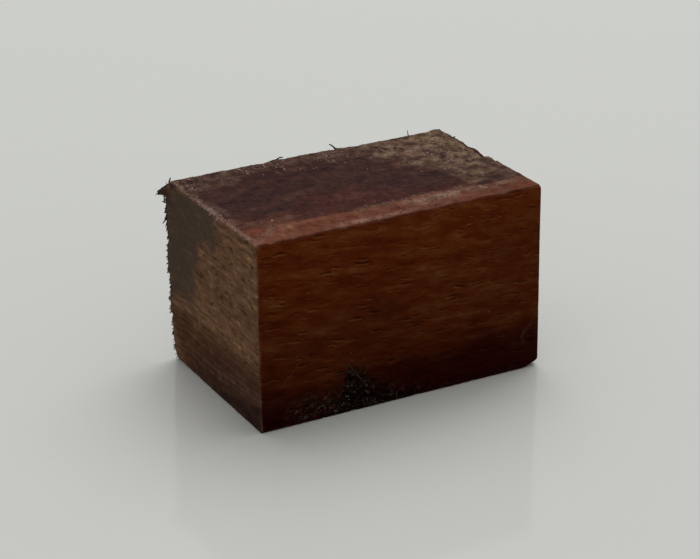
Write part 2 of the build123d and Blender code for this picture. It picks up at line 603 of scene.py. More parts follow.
        bran = add(tree, "Math", {0: marks[Mark.BRAN], 1: loose}, operation="MULTIPLY")
        stray = add(tree, "VectorMath", {0: speck.node.outputs["Color"], 1: (0.5,) * 3}, operation="SUBTRACT")
        stray = add(tree, "VectorMath", {0: stray, 1: (self.crumb_rag,) * 3, 2: place}, operation="MULTIPLY_ADD")
        grains = pattern(tree, stray, self.dust_grain, "TexVoronoi")
        # Measured this way, the crumbs come out angular like broken wood, not round.
        grains.node.distance = "MANHATTAN"
        lot = add(tree, "Math", {0: thick, 1: 0.6, 2: grains.node.outputs["Color"]}, operation="MULTIPLY_ADD")
        lot = add(tree, "MapRange", {0: lot, 1: 0.98, 2: 1.10, 3: 0.0, 4: 0.9})
        crumb = add(tree, "MapRange", {0: grains, 1: 0.22, 2: 0.56, 3: 1.0, 4: 0.0})
        crumb = add(tree, "Math", {0: crumb, 1: lot}, operation="MULTIPLY")
        shade = add(tree, "SeparateColor", {0: grains.node.outputs["Color"]}, "Blue")
        worn = add(tree, "MapRange", {0: speck, 1: 0.35, 2: 0.60, 3: 0.25, 4: 1.0})
        worn = add(tree, "Math", {0: worn, 1: marks[Mark.WEAR]}, operation="MULTIPLY")
        grimy = add(tree, "MapRange", {0: flake, 1: 0.36, 2: 0.60, 3: 0.1, 4: 1.0})
        grimy = add(tree, "Math", {0: grimy, 1: marks[Mark.DIRT]}, operation="MULTIPLY")
        tar = add(tree, "Math", {0: flake, 1: 1.4, 2: -0.70}, operation="MULTIPLY_ADD")
        tar = add(tree, "Math", {0: marks[Mark.SOOT], 1: tar}, operation="ADD")
        tar = add(tree, "MapRange", {0: tar, 1: 0.25, 2: 0.95, 3: 0.0, 4: 0.95}, interpolation_type="SMOOTHSTEP")
        for share, tone, ramp in (
            (bran, flake, ((0.38, "#564434"), (0.52, "#725c46"), (0.64, "#92795e"))),
            (crumb, shade, ((0.10, "#5c4943"), (0.55, "#7c665d"), (0.95, "#9c877d"))),
            (worn, flake, ((0.38, "#704f43"), (0.52, "#8e6c5c"), (0.64, "#ae9080"))),
            # Torn arrises: partly darker torn wood, partly painted shade in the chipped hollows of the right
            # arrises and on the back left fringe.
            (marks[Mark.TORN], speck, ((0.35, "#120706"), (0.52, "#26110c"), (0.68, "#442819"))),
            (grimy, speck, ((0.38, "#060202"), (0.50, "#240f08"), (0.64, "#452a1c"))),
            (tar, speck, ((0.42, "#040202"), (0.56, "#140c08"), (0.66, "#36281c"), (0.76, "#6c5c4a"))),
        ):
            layer = add(tree, "ValToRGB", {0: tone}, ramp=ramp)
            colour = add(tree, "Mix", {0: share, 6: colour, 7: layer}, 2, data_type="RGBA")
        coat = add(tree, "Math", {0: film, 1: tar}, operation="MAXIMUM")
        dull = add(tree, "Math", {0: coat, 1: marks[Mark.END]}, operation="MAXIMUM")
        dull = add(tree, "Math", {0: dull, 1: marks[Mark.TORN]}, operation="MAXIMUM")
        lumps = add(tree, "Math", {0: coat, 1: flake}, operation="MULTIPLY")
        height = add(tree, "Math", {0: lumps, 1: 0.7, 2: height}, operation="MULTIPLY_ADD")
        height = add(tree, "Math", {0: crumb, 1: 0.14, 2: height}, operation="MULTIPLY_ADD")
        return colour, height, dull


@dataclass(frozen=True)
class LooseWood:
    """Bits of the same wood, each of one shade: torn fibres that are dark, or crumbs of sawdust that are pale.

    Attributes:
        name: The material's name.
        shades: Its darkest, middle and palest colour.
        mottle: Size of the faint mottling inside one bit, in millimetres.
        mottled: How far that shifts its tone.
        roughness: How dull it is, as freshly torn wood is.
        gloss: How little it shines.
    """

    name: str
    shades: tuple[str, str, str]
    mottle: Extent = (0.3, 0.3, 0.3)
    mottled: float = 0.3
    roughness: float = 0.9
    gloss: float = 0.02

    def make(self) -> bpy.types.Material:
        """Builds the material, which takes each bit's shade from its tone."""
        material, tree = blank(self.name)
        tone = add(tree, "Attribute", attribute_name=TONE, out="Fac")
        place = add(tree, "TexCoord", out="Object")
        place = add(tree, "VectorMath", {0: place, 1: (1 / MM,) * 3}, operation="MULTIPLY")
        mottle = pattern(tree, place, self.mottle)
        tone = add(tree, "Math", {0: mottle, 1: self.mottled, 2: tone}, operation="MULTIPLY_ADD")
        tone = add(tree, "Math", {0: tone, 1: self.mottled / 2}, operation="SUBTRACT")
        colour = add(tree, "ValToRGB", {0: tone}, ramp=tuple(zip((0.0, 0.5, 1.0), self.shades)))
        shader = add(
            tree,
            "BsdfPrincipled",
            {"Base Color": colour, "Roughness": self.roughness, "Specular IOR Level": self.gloss},
        )
        add(tree, "OutputMaterial", {"Surface": shader})
        return material


@dataclass
class BlockSkin:
    """The block itself: the solid's form with the relief and the marks of its surfaces.

    Attributes:
        voxel: Spacing of the remeshed skin, in millimetres.
        merge: How near two points of the solid have to be to become one, in millimetres.
        smoothing: How often the arrises are smoothed and drawn out again.
        smooth_steps: How far each smoothing draws them in, and then out.
        torn_corner: Left of and behind this place the torn wood stays as sharp as it is, in millimetres.
        darkening_heights: Heights above the base at which the long faces are darkened, more towards the bottom.
        darkening_shares: How strongly they are darkened there.
        right_reach: How far the sawn right end stands beyond the solid's, in millimetres.
        right_rise: Where along the block that begins and is full, in millimetres.
        splinter_draw: How much of the splinter's reach its worn tip has lost.
        splinter_root: Where along the block the splinter begins, in millimetres.
        finish: What the block is made of.
    """

    voxel: float = 0.47
    merge: float = 0.001
    smoothing: int = 5
    smooth_steps: tuple[float, float] = (0.5, -0.52)
    torn_corner: tuple[float, float] = (-39.4, 21.0)
    darkening_heights: tuple[float, ...] = (0.0, 5.0, 15.0, 25.0, 35.0, 45.0)
    darkening_shares: tuple[float, ...] = (1.0, 0.90, 0.47, 0.26, 0.12, 0.0)
    right_reach: float = 0.5
    right_rise: tuple[float, float] = (60, 78)
    splinter_draw: float = 0.15
    splinter_root: float = -0.6
    finish: RedHardwood = field(default_factory=RedHardwood)

    def build(self, solid: bpy.types.Object) -> Skin:
        """Makes the block's skin over the solid.

        Args:
            solid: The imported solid, which is left as it is.

        Returns:
            The points of the skin.
        """
        mesh = self.remeshed(solid)
        low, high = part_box(NODE)
        corner = np.array((-high.x, low.y, 0.0)) / MM
        places, normals = np.empty((2, len(mesh.vertices), 3), np.float32)
        mesh.vertices.foreach_get("co", places.ravel())
        mesh.vertex_normals.foreach_get("vector", normals.ravel())
        skin = Skin(places.astype(float) / MM - corner, normals.astype(float), corner)
        marks = self.marks(skin)
        skin.places += skin.normals * self.relief(skin, marks)[:, None]
        skin.places[:, 2] = np.maximum(skin.places[:, 2], 0.0)
        skin.places[:, 0] += self.right_reach * smooth(*self.right_rise, skin.places[:, 0])
        skin.places[:, 0] += self.splinter_draw * np.maximum(self.splinter_root - skin.places[:, 0], 0.0)
        mesh.vertices.foreach_set("co", ((skin.places + corner) * MM).astype(np.float32).ravel())
        for mark, values in marks.items():
            carried = mesh.attributes.new(mark.value, "FLOAT", "POINT")
            carried.data.foreach_set("value", values.astype(np.float32))
        bm = bmesh.new()
        bm.from_mesh(mesh)
        bpy.data.meshes.remove(mesh)
        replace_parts(show("block_skin", bm, self.finish.make()), NODE)
        return skin

    def remeshed(self, solid: bpy.types.Object) -> bpy.types.Mesh:
        """Copies the solid, merges its loose triangles, remeshes it evenly and takes the steps off its arrises.

        Args:
            solid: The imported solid.

        Returns:
            The even mesh.
        """
        bm = bmesh.new()
        bm.from_mesh(solid.data)
        bmesh.ops.remove_doubles(bm, verts=bm.verts, dist=self.merge * MM)
        mesh = bpy.data.meshes.new("block_form")
        bm.to_mesh(mesh)
        bm.free()
        form = into_scene("block_form", mesh)
        even = form.modifiers.new("even", "REMESH")
        even.mode = "VOXEL"
        even.voxel_size = self.voxel * MM
        view = bpy.context.evaluated_depsgraph_get()
        skin = bpy.data.meshes.new_from_object(form.evaluated_get(view))
        bpy.data.objects.remove(form)
        bm = bmesh.new()
        bm.from_mesh(skin)
        torn_x, torn_y = (share * MM for share in self.torn_corner)
        steps = [
            v for v in bm.verts
            if max(map(abs, v.normal)) < FLAT and not (v.co.x < torn_x and v.co.y > torn_y)
        ]
        for _ in range(self.smoothing):
            for factor in self.smooth_steps:
                bmesh.ops.smooth_vert(
                    bm, verts=steps, factor=factor, use_axis_x=True, use_axis_y=True, use_axis_z=True
                )
        bm.to_mesh(skin)
        bm.free()
        return skin

    def marks(self, skin: Skin) -> Marks:
        """Works out where each mark lies on the skin.

        Args:
            skin: The bare skin.

        Returns:
            The strength of each mark at each point, from nought to one.
        """
        top = skin.facing(Face.TOP)
        long_side = np.maximum(skin.facing(Face.FRONT), skin.facing(Face.BACK))
        # The long faces grow darker towards the bottom.
        height = skin.places[:, 2] + 4.0 * skin.ripple((18, 9, 9), 4, seed=8)
        damp = np.interp(height, self.darkening_heights, self.darkening_shares) * long_side
        patchy = smooth(-0.4, 0.3, skin.ripple((6, 6, 6), 3, seed=5))
        front_right = skin.arris(0.8, Face.FRONT, Face.RIGHT)
        proud = smooth(0.4, 1.1, -skin.depth(Face.LEFT)) * smooth(43.0, 45.5, skin.places[:, 2])
        back_left = skin.arris(1.1, Face.BACK, Face.LEFT) * (0.4 + 0.6 * patchy)
        top_left = skin.arris(1.8, Face.TOP, Face.LEFT) * (1 - skin.facing(Face.LEFT))

        def most(*covers: Cover | np.ndarray) -> np.ndarray:
            """Takes the strongest of several covers at each point."""
            return np.maximum.reduce([c if isinstance(c, np.ndarray) else c.cover(skin) for c in covers])

        return {
            Mark.TOP: top,
            Mark.END: most(skin.facing(Face.LEFT), skin.facing(Face.RIGHT), proud),
            Mark.BAND: most(BAND, BROWN_STRIP),
            Mark.RED: most(RED_WOOD, RED_STRIP),
            Mark.STAIN: most(WET_END, WET_RIGHT, proud),
            Mark.LOW: most(SECOND_PASS, RIGHT_FOOT),
            Mark.FOOT: most(GREY_FOOT, DARK_FOOT),
            Mark.DAMP: most(damp, *SMUDGES),
            Mark.SOOT: TAR.cover(skin),
            Mark.DIRT: DIRT.cover(skin),
            Mark.DUST: most(
                BACK_RIGHT_DUST, BACK_DUST, RIGHT_DUST, BACK_LEFT_DUST, *DUST_LINES, 0.08 * top,
                0.22 * BAND.cover(skin),
            ),
            Mark.BRAN: BRAN_CORNER.cover(skin),
            Mark.WEAR: most(top_left, 0.35 * skin.arris(0.8) * patchy * (1 - front_right), *PALE_LINES),
            # Partly painted shade: the chipped top right arris, its hollows and the back left fringe are darkened
            # as if shaded.
            Mark.TORN: most(
                0.85 * skin.arris(0.7, Face.TOP, Face.RIGHT), front_right, back_left, 0.35 * proud, *HOLLOW_SHADE
            ),
        }

    def relief(self, skin: Skin, marks: Marks) -> np.ndarray:
        """Works out how far each point stands out of the plain form.

        Args:
            skin: The bare skin.
            marks: The marks on it.

        Returns:
            Heights in millimetres, negative into the wood.
        """
        along, across, up = skin.places.T
        inland = 1 - skin.arris(2.0)
        swell = 0.06 * skin.ripple((30, 18, 18), 2)
        raised_grain = 0.03 * skin.ripple((24, 1.6, 1.6), 2, seed=1) * (1 - marks[Mark.END])
        grit = skin.ripple((2.6, 1.4, 1.4), 2, seed=2)
        saw_lines = 0.05 * np.sin(2 * math.pi * up / 1.25 + 2.5 * skin.ripple((40, 25, 7), 2, seed=4))
        torn_layers = 0.07 * skin.ripple((9, 2.6, 0.9), 2, seed=6)
        sawn = marks[Mark.END] * (saw_lines + torn_layers) * inland * (1 - 0.8 * marks[Mark.STAIN])
        rough_top = marks[Mark.TOP] * (0.03 + 0.20 * marks[Mark.DUST]) * grit
        lifted_back = 0.4 * marks[Mark.TOP] * smooth(42, 49, across) * smooth(58, 40, along)
        pitted = marks[Mark.SOOT] * (0.16 * grit - 0.12)
        right = skin.arris(3.0, Face.TOP, Face.RIGHT) + skin.arris(3.0, Face.FRONT, Face.RIGHT)
        nicks = -0.30 * skin.arris(1.0) * smooth(0.15, 0.7, skin.ripple((3.5, 3.5, 3.5), 3, seed=7))
        nicks *= 1 - 0.8 * np.minimum(right, 1)
        rounded = -0.40 * skin.arris(1.4, Face.TOP, Face.RIGHT)
        return swell + raised_grain + sawn + rough_top + lifted_back + pitted + nicks + rounded


BAND = Patch(
    Face.TOP,
    ((-1, -1), (82, -1), (82, 8.6), (70, 7.8), (63, 8.9), (52, 9.6), (45, 8.8), (32, 8.9), (20, 9.4), (10, 10.2),
     (-1, 11.5)),
    soft=1.2, fray=0.5, fray_size=6.0,
)
RED_WOOD = Patch(
    Face.TOP, ((18, 9), (50, 9), (48, 15), (38, 24), (28, 24), (19, 16)), soft=9.0, fray=3.0, strength=0.22
)
RED_STRIP = Patch(Face.TOP, ((20, 8), (68, 8), (68, 13), (20, 14)), soft=5.0, fray=2.0, strength=0.24)
BROWN_STRIP = Patch(Face.TOP, ((1, 8), (18, 8), (14, 15), (2, 17)), soft=9.0, fray=1.5, strength=0.72)
BACK_RIGHT_DUST = Patch(
    Face.TOP,
    ((51, 52), (52, 45), (54, 40), (57, 35), (58, 31), (61, 27), (64, 23), (70, 20), (75, 18), (82, 19), (82, 52)),
    soft=7.0, fray=3.0,
)
BACK_DUST = Patch(Face.TOP, ((13, 52), (18, 46), (40, 43), (49, 42), (54, 52)), soft=10.0, fray=3.0, strength=0.46)
RIGHT_DUST = Patch(
    Face.TOP, ((62, 24), (64, 19), (66, 15), (63, 9), (82, 7.5), (82, 24)), soft=4.0, fray=2.5, strength=0.58
)
BACK_LEFT_DUST = Patch(
    Face.TOP, ((-1, 52), (23, 52), (18, 47), (10, 43), (5, 40), (-1, 37)), soft=7.0, fray=3.0, strength=0.47
)
BRAN_CORNER = Patch(
    Face.TOP, ((66, 52), (68, 46), (72, 40), (76, 36), (82, 33), (82, 52)), soft=6.0, fray=2.5, strength=0.75
)
DUST_LINES = (
    Stroke(Face.TOP, ((33, 9.4), (45, 9.1), (52, 9.6), (65, 8.8)), 1.6, 0.56),
    Stroke(Face.TOP, ((45, 6.4), (54, 6.0), (63, 7.4)), 4.4, 0.75),
    Stroke(Face.TOP, ((24, 2.4), (34, 2.2), (46, 2.4), (60, 2.4)), 2.2, 0.36),
    Stroke(Face.TOP, ((2, 3), (9, 9.5)), 4.0, 0.5),
    Stroke(Face.TOP, ((1.0, 4), (1.2, 46)), 2.0, 0.55),
    Stroke(Face.TOP, ((3, 13.5), (16, 12.5)), 4.0, 0.35),
    Stroke(Face.TOP, ((61, 6.6), (70, 6.0), (80, 6.8)), 3.4, 0.68),
    Stroke(Face.TOP, ((27, 5.4), (43, 5.8)), 4.2, 0.36),
    Stroke(Face.TOP, ((13, 42), (17, 46), (21, 50)), 4.4, 0.55),
    Stroke(Face.TOP, ((1.6, 31), (2.6, 24), (2.2, 16)), 3.6, 0.40),
)
WET_END = Patch(
    Face.LEFT,
    ((52, 52), (21.5, 52), (23, 44), (25, 40.5), (31.5, 38.5), (34.5, 36), (34.5, 34), (37, 30), (37, 25),
     (40, 21), (46, 19.5), (52, 18)),
    soft=6.0, fray=2.6, fray_size=6.0,
)
WET_RIGHT = Patch(
    Face.RIGHT, ((-1, 52), (31, 52), (26, 43), (17, 39), (11, 33), (-1, 30)), soft=4.0, fray=2.0, strength=0.8
)
SECOND_PASS = Patch(
    Face.LEFT, ((-1, -1), (43, -1), (47, 6), (52, 16.5), (-1, 16.0)), soft=7.0, fray=1.0, fray_size=8.0,
    strength=0.84,
)
RIGHT_FOOT = Patch(Face.RIGHT, ((-1, -1), (52, -1), (52, 9), (30, 12), (-1, 13)), soft=8.0, fray=2.0)
GREY_FOOT = Patch(
    Face.LEFT, ((-1, -1), (40, -1), (24, 3), (12, 5.5), (-1, 8)), soft=4.0, fray=0.8, fray_size=6.0, strength=0.85
)
DARK_FOOT = Patch(Face.LEFT, ((-1, -1), (40, -1), (36, 7), (20, 11), (-1, 12)), soft=7.0, fray=1.5, strength=0.5)
PALE_LINES = (
    Stroke(Face.TOP, ((24, 2.3), (34, 2.2), (44, 2.4)), 1.8, 0.5),
    Stroke(Face.TOP, ((45, 6.4), (54, 6.0), (63, 7.4)), 4.2, 0.28),
    Stroke(Face.FRONT, ((78.2, 12.4), (76.2, 11), (75.4, 9.2), (76.0, 7.6)), 0.7, 0.13),
    Stroke(Face.LEFT, ((34, 17.6), (51, 17.2)), 0.9, 0.45),
    Stroke(Face.LEFT, ((0, 17.2), (20, 17.6), (34, 17.6)), 0.8, 0.3),
    Stroke(Face.LEFT, ((0, 10.2), (18, 8.9)), 0.9, 0.20),
    Stroke(Face.LEFT, ((0, 8.6), (12, 8.1), (24, 7.0), (33, 6.6)), 0.8, 0.26),
    Stroke(Face.LEFT, ((2, 6.9), (16, 6.3), (36, 4.6)), 0.8, 0.20),
)
SMUDGES = (
    Patch(Face.FRONT, ((28, 27), (36, 29), (44, 26.5), (41, 22.5), (31, 23)), soft=6.0, fray=2.5, strength=0.55),
    Patch(Face.FRONT, ((-1, 20), (6, 22), (9, 14), (6, 8), (-1, 8)), soft=10.0, fray=2.0, strength=0.6),
    Patch(
        Face.FRONT, ((38, 13), (58, 15), (90, 16), (90, -10), (35, -10)), soft=16.0, fray=2.0, fray_size=9.0,
        strength=0.92,
    ),
    Patch(Face.FRONT, ((64, 5), (62, 41), (90, 43), (90, 5)), soft=14.0, fray=2.0, fray_size=9.0, strength=0.28),
)
TAR = Patch(
    Face.FRONT,
    ((16, -1), (19, 2.0), (22.5, 5), (25.0, 12.8), (26.8, 12.0), (29.5, 9.0), (33, 6.0), (38, 4.0), (47, 1.2),
     (47, -1)),
    soft=6.0, fray=1.8, fray_size=2.6,
)
DIRT = Patch(
    Face.FRONT,
    ((6, -1), (7.5, 5), (11, 7.5), (17, 7.5), (23, 9), (25, 13), (28, 12), (34, 6), (42, 4), (50, 1.6),
     (82, 0.6), (82, -1)),
    soft=4.0, fray=2.0, fray_size=3.0,
)
# Painted shade: dark laid in the chipped hollows of the top's right arris and under the torn lip at the back of
# the left end.
HOLLOW_SHADE = (
    Stroke(Face.TOP, ((80.1, 45), (79.6, 41), (80.0, 37), (79.5, 33), (80.0, 28)), 1.6, 1.0),
    Patch(Face.LEFT, ((50.0, 40.5), (51.5, 40.5), (51.5, 50), (47.8, 50), (49.6, 46.5)), soft=0.8, fray=0.5),
)


@dataclass(frozen=True)
class Fibre:
    """A sliver of wood that is loose at one end. Lengths are in millimetres.

    Attributes:
        root: Where it leaves the block, in the frame.
        tip: Where it ends.
        width: How wide it is at its root, level.
        thickness: How thick it is there, upright.
        bow: How far its middle bends aside.
        tone: Its shade, from nought, darkest, to one.
        point: How wide its tip is, as a share of its root.
        sides: How many sides it has.
        bends: How many places it bends at.
    """

    root: Place
    tip: Place
    width: float
    thickness: float
    bow: Place = (0.0, 0.0, 0.0)
    tone: float = 0.15
    point: float = 0.25
    sides: int = 5
    bends: int = 3

    def shape(self, mesh: bpy.types.Mesh) -> None:
        """Shapes the sliver into a mesh, in metres."""
        root, run, bow = Vector(self.root), Vector(self.tip) - Vector(self.root), Vector(self.bow)
        bm = bmesh.new()
        tones = bm.verts.layers.float.new(TONE)
        bmesh.ops.create_cone(
            bm, cap_ends=True, segments=self.sides, radius1=self.width / 2, radius2=self.width * self.point / 2,
            depth=run.length,
        )
        lengthwise = [e for e in bm.edges if e.verts[0].co.z * e.verts[1].co.z < 0]
        bmesh.ops.subdivide_edges(bm, edges=lengthwise, cuts=self.bends)
        bmesh.ops.scale(bm, vec=(1.0, self.thickness / self.width, 1.0), verts=bm.verts)
        lie = Matrix.Translation(root + run / 2) @ run.to_track_quat("Z", "Y").to_matrix().to_4x4()
        bmesh.ops.transform(bm, matrix=lie, verts=bm.verts)
        for vert in bm.verts:
            t = (vert.co - root).dot(run) / run.length_squared
            vert.co += bow * (4 * t * (1 - t))
            vert[tones] = self.tone
        bmesh.ops.scale(bm, vec=(MM,) * 3, verts=bm.verts)
        bm.to_mesh(mesh)
        bm.free()


@dataclass
class TornFibres:
    """Slivers that the saw tore loose, dark along the back left arris and pale along the top left one.

    Attributes:
        splinter: The torn splinter's own slivers, below it too.
        shavings: What stands up from the top's back edge.
        scratches: Start, end and width of each pale scratch across the front, in millimetres, and its shade.
        teeth: How many short teeth the back left arris has.
        back_teeth: How many the top's back edge has.
        fuzz: How many pale hairs the top left arris has.
        seed: Picks where they stand.
    """

    splinter: tuple[Fibre, ...] = (
        Fibre((-40.4, 24.0, 49.6), (-44.2, 24.0, 47.8), 0.44, 0.40, (0, 0, 0.2), 0.0),
        Fibre((-42.6, 24.1, 47.6), (-44.4, 24.1, 47.2), 0.44, 0.44, tone=0.0),
        Fibre((-41.4, 24.2, 46.7), (-43.7, 24.2, 47.1), 0.30, 0.36, tone=0.05),
        Fibre((-41.4, 24.0, 48.3), (-43.2, 23.9, 47.8), 0.36, 0.55, tone=0.75),
        Fibre((-40.3, 24.6, 49.6), (-39.8, 24.8, 50.85), 0.54, 0.44, tone=0.0, point=0.5),
        Fibre((-40.9, 24.5, 49.2), (-41.3, 24.6, 50.1), 0.22, 0.22, tone=0.15),
        Fibre((-41.7, 24.3, 47.1), (-41.95, 24.3, 44.5), 0.34, 0.34, (-0.12, 0, 0), 0.05, 0.9),
        Fibre((-42.5, 24.3, 45.05), (-41.3, 24.4, 44.4), 0.32, 0.32, (0, 0, -0.1), 0.05, 0.8),
        Fibre((-41.0, 24.5, 44.4), (-41.7, 24.5, 41.6), 0.60, 0.60, (-0.1, 0, 0), 0.20, 0.6),
        Fibre((-41.0, 24.5, 42.6), (-41.9, 24.5, 39.7), 0.64, 0.60, (0.1, 0, 0), 0.10, 0.6),
        Fibre((-41.0, 24.5, 40.6), (-42.6, 24.5, 38.9), 0.50, 0.50, tone=0.05, point=0.5),
        Fibre((-41.0, 24.5, 39.4), (-41.7, 24.5, 38.2), 0.50, 0.50, tone=0.15, point=0.5),
    )
    shavings: tuple[Fibre, ...] = (
        Fibre((-12.2, 24.6, 49.9), (-9.0, 24.7, 50.4), 0.60, 0.50, (0, 0, 0.1), 0.15),
        Fibre((-9.6, 24.7, 50.2), (-7.6, 24.8, 50.5), 0.46, 0.45, (0, 0, 0.3), 0.0, 0.6),
        Fibre((8.0, 24.7, 49.8), (6.2, 24.8, 51.7), 0.60, 0.50, (0.2, 0, 0.1), 0.0, 0.7),
        Fibre((8.8, 24.7, 50.0), (7.3, 24.8, 50.7), 0.44, 0.36, tone=0.05),
        Fibre((30.2, 24.7, 50.0), (29.9, 24.8, 51.6), 0.30, 0.30, tone=0.0, point=0.4),
    )
    scratches: tuple[tuple[tuple[float, float], tuple[float, float], float, float], ...] = (
        ((6.0, 11.2), (12.2, 17.4), 0.46, 0.5),
        ((12.0, 17.2), (18.0, 23.0), 0.36, 0.4),
        ((24.6, 13.4), (27.6, 9.4), 0.40, 1.0),
        ((27.2, 9.9), (30.0, 6.4), 0.36, 1.0),
        ((24.0, 11.4), (26.4, 9.4), 0.30, 1.0),
    )
    teeth: int = 70
    back_teeth: int = 14
    fuzz: int = 150
    seed: int = 11

    def build(self, skin: Skin) -> None:
        """Makes the dark slivers, the pale hairs and the scratches.

        Args:
            skin: The block's skin, which they grow out of.
        """
        rng = np.random.default_rng(self.seed)
        dark = LooseWood("torn_hardwood_fibre", ("#120907", "#3b1d14", "#7a5841"))
        pale = LooseWood("frayed_hardwood_fibre", ("#4b3125", "#806353", "#ac9482"))
        scored = LooseWood("scored_hardwood_lip", ("#361a0b", "#4d2a13", "#372e25"))
        self.bundle("torn_fibres", [*self.splinter, *self.shavings, *self.toothed(skin, rng)], dark)
        self.bundle("frayed_fibres", self.frayed(skin, rng), pale)
        self.bundle("scratches", self.scratched(skin), scored)

    def bundle(self, name: str, fibres: list[Fibre], finish: LooseWood) -> None:
        """Makes one piece of many fibres.

        Args:
            name: The piece's name.
            fibres: The fibres in it.
            finish: What they are made of.
        """
        bm = bmesh.new()
        bm.verts.layers.float.new(TONE)
        one = bpy.data.meshes.new("one_fibre")
        for fibre in fibres:
            fibre.shape(one)
            bm.from_mesh(one)
        bpy.data.meshes.remove(one)
        show(name, bm, finish.make())

    def toothed(self, skin: Skin, rng: np.random.Generator) -> list[Fibre]:
        """Grows short dark teeth out of the torn back left arris, and a few out of the top's back edge."""
        teeth = []
        for level in np.linspace(0.8, 47.5, self.teeth):
            root = skin.outermost(2, level + rng.uniform(-0.3, 0.3), 0.35, (-0.88, 0.48, 0.0))
            run = Vector((rng.uniform(-0.55, -0.15), rng.uniform(-0.1, 0.15), rng.uniform(-0.6, 0.2)))
            size = rng.uniform(0.22, 0.45)
            # Their near-black tones are partly painted shade on a fringe that faces away from the lamp.
            teeth.append(Fibre(root - run * 0.5, root + run, size, size * 1.4, tone=rng.uniform(0.0, 0.2)))
        for level in rng.uniform(2.0, 60.0, self.back_teeth):
            root = skin.outermost(0, level, 0.35, (0.0, 0.5, 0.87))
            run = Vector((rng.uniform(-0.5, 0.5), 0.05, rng.uniform(0.05, 0.25)))
            teeth.append(Fibre(root - run * 0.3, root + run, 0.20, 0.18, tone=rng.uniform(0.1, 0.5)))
        return teeth

    def frayed(self, skin: Skin, rng: np.random.Generator) -> list[Fibre]:
        """Grows pale hairs along the top left arris."""
        hairs = []
        for level in rng.uniform(0.4, 49.0, self.fuzz):
            root = skin.outermost(1, level, 0.3, (-0.6, 0.0, 0.8))
            run = Vector((rng.uniform(-0.35, 0.25), rng.uniform(-0.5, 0.5), rng.uniform(0.0, 0.45)))
            size = rng.uniform(0.12, 0.24)
            hairs.append(Fibre(root - run * 0.3, root + run, size, size, tone=rng.uniform(0.3, 1.0)))
        return hairs

    def scratched(self, skin: Skin) -> list[Fibre]:
        """Lays the front's scratches as thin raised lips of paler wood."""
        return [
            Fibre(skin.on(Face.FRONT, *start), skin.on(Face.FRONT, *end), 0.4 * width, width, tone=tone, point=0.5)
            for start, end, width, tone in self.scratches
        ]


@dataclass(frozen=True)
class Sprinkle:
    """Crumbs that lie on part of the skin.

    Attributes:
        covers: Where they lie.
        count: How many there are.
        sizes: Smallest and largest width, in millimetres.
        tones: Darkest and palest shade.
        seed: Picks their places.
        slim: How wide the slimmest and the widest are, as a share of their length.
        turn: How far they lie turned from the grain, in radians.
        clear: How far they stay off the arrises, in millimetres.
        ragged: How far their corners stray, as a share of their length.
        aside: How far they lie from the skin's own points, in millimetres.
        bunch: Size of the bunches that they lie in, in millimetres.
        sparse: How many lie between the bunches, as a share.
        flat: Least and greatest thickness, as a share of their length.
    """

    covers: tuple[Cover, ...]
    count: int
    sizes: tuple[float, float]
    tones: tuple[float, float]
    seed: int
    slim: tuple[float, float] = (0.4, 0.9)
    turn: float = math.pi
    clear: float = 1.0
    ragged: float = 0.16
    aside: float = 0.25
    bunch: Extent = (5.0, 5.0, 5.0)
    sparse: float = 0.10
    flat: tuple[float, float] = (0.12, 0.26)

    def scatter(self, bm: bmesh.types.BMesh, skin: Skin) -> None:
        """Adds the crumbs to a bmesh, in metres.

        Args:
            bm: The bmesh.
            skin: The skin that they lie on.
        """
        rng = np.random.default_rng(self.seed)
        tones = bm.verts.layers.float[TONE]
        share = np.maximum.reduce([c.cover(skin) for c in self.covers])
        share *= self.sparse + smooth(-0.15, 0.45, skin.ripple(self.bunch, 3, self.seed))
        if self.clear:
            share *= 1 - skin.arris(self.clear)
        for i in rng.choice(len(share), self.count, p=share / share.sum()):
            size = self.sizes[0] + (self.sizes[1] - self.sizes[0]) * rng.random() ** 2
            turn = Vector(skin.normals[i]).to_track_quat("Z", "Y").to_matrix().to_4x4()
            turn @= Matrix.Rotation(rng.uniform(-self.turn, self.turn), 4, "Z")
            aside = turn @ Vector((*rng.uniform(-self.aside, self.aside, 2), 0.0))
            spot = Vector(skin.places[i] + skin.corner) + aside
            flat = rng.uniform(*self.flat)
            shape = Matrix.Diagonal((1.0, rng.uniform(*self.slim), flat, 1.0))
            made = bmesh.ops.create_icosphere(
                bm, subdivisions=1, radius=size / 2,
                matrix=Matrix.Scale(MM, 4) @ Matrix.Translation(spot) @ turn @ shape,
            )
            tone = rng.uniform(*self.tones)
            for vert in made["verts"]:
                stray = rng.uniform(-self.ragged, self.ragged, 3) * (1.0, 1.0, flat)
                vert.co += turn.to_3x3() @ Vector(stray) * size * MM
                vert[tones] = tone


